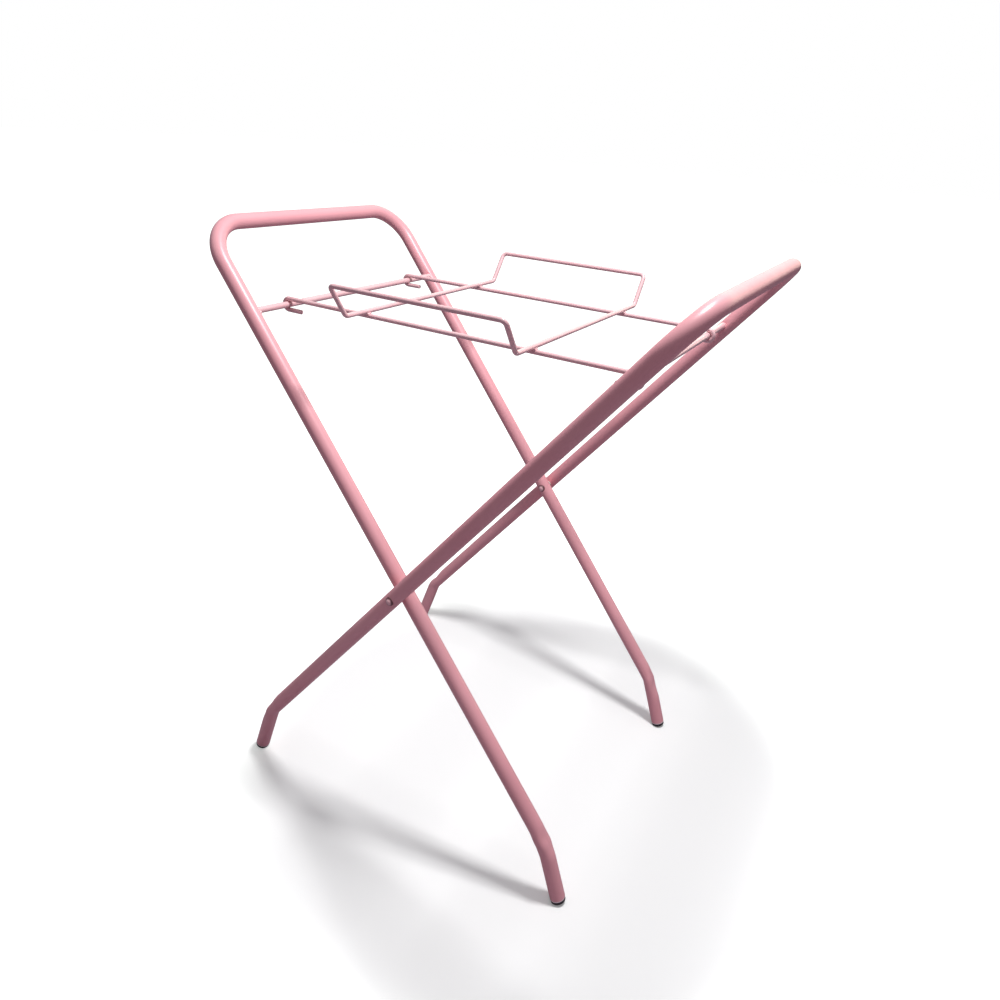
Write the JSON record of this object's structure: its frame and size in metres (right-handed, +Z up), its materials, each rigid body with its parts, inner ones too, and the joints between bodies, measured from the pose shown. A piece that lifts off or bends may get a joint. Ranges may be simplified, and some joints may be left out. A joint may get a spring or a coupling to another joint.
{
  "type": "baby bath stand",
  "caption": "Folding X-frame stand of bent tube with a hooked wire rack that cradles a baby bath between two handle bars.",
  "frame": {"origin": "on the floor, straight under the middle of the pivot line", "axes": "+Z up. -X towards the handle bar of the inner frame, +X towards that of the outer frame. -Y near side, +Y far side"},
  "size_m": [0.7246, 0.487, 0.8614],
  "materials": {
    "painted_tube": "gloss powder coat",
    "painted_rod": "gloss powder coat",
    "painted_wire": "gloss powder coat",
    "painted_weld": "gloss powder coat",
    "painted_rivet": "gloss powder coat",
    "washer_nylon": "natural",
    "black_plug": "satin"
  },
  "bodies": {
    "inner_frame": {"inner_frame_tube": "painted_tube", "inner_crossbar": "painted_rod", "inner_crossbar_tacks": "painted_weld", "pivot_rivet_near": "painted_rivet", "pivot_rivet_far": "painted_rivet", "pivot_washer_near": "washer_nylon", "pivot_washer_far": "washer_nylon", "foot_plug_inner_near": "black_plug", "foot_plug_inner_far": "black_plug"},
    "outer_frame": {"outer_frame_tube": "painted_tube", "outer_crossbar": "painted_rod", "outer_crossbar_tacks": "painted_weld", "foot_plug_outer_near": "black_plug", "foot_plug_outer_far": "black_plug"},
    "rack": {"rack_wire_near": "painted_wire", "rack_wire_far": "painted_wire", "cradle_loop": "painted_wire", "rack_welds": "painted_weld"}
  },
  "joints": [
    {"name": "frame_fold", "type": "hinge", "parent": "inner_frame", "child": "outer_frame", "pos_m": [0, 0, 0.404], "axis": [0, -1, 0], "range_deg": [0, 73]},
    {"name": "rack_swing", "type": "hinge", "parent": "inner_frame", "child": "rack", "pos_m": [-0.26299, 0, 0.74548], "axis": [0, -1, 0], "range_deg": [0, 36.5]}
  ],
  "couplings": [
    {"joint": "rack_swing", "follows": "frame_fold", "ratio": 0.5}
  ]
}
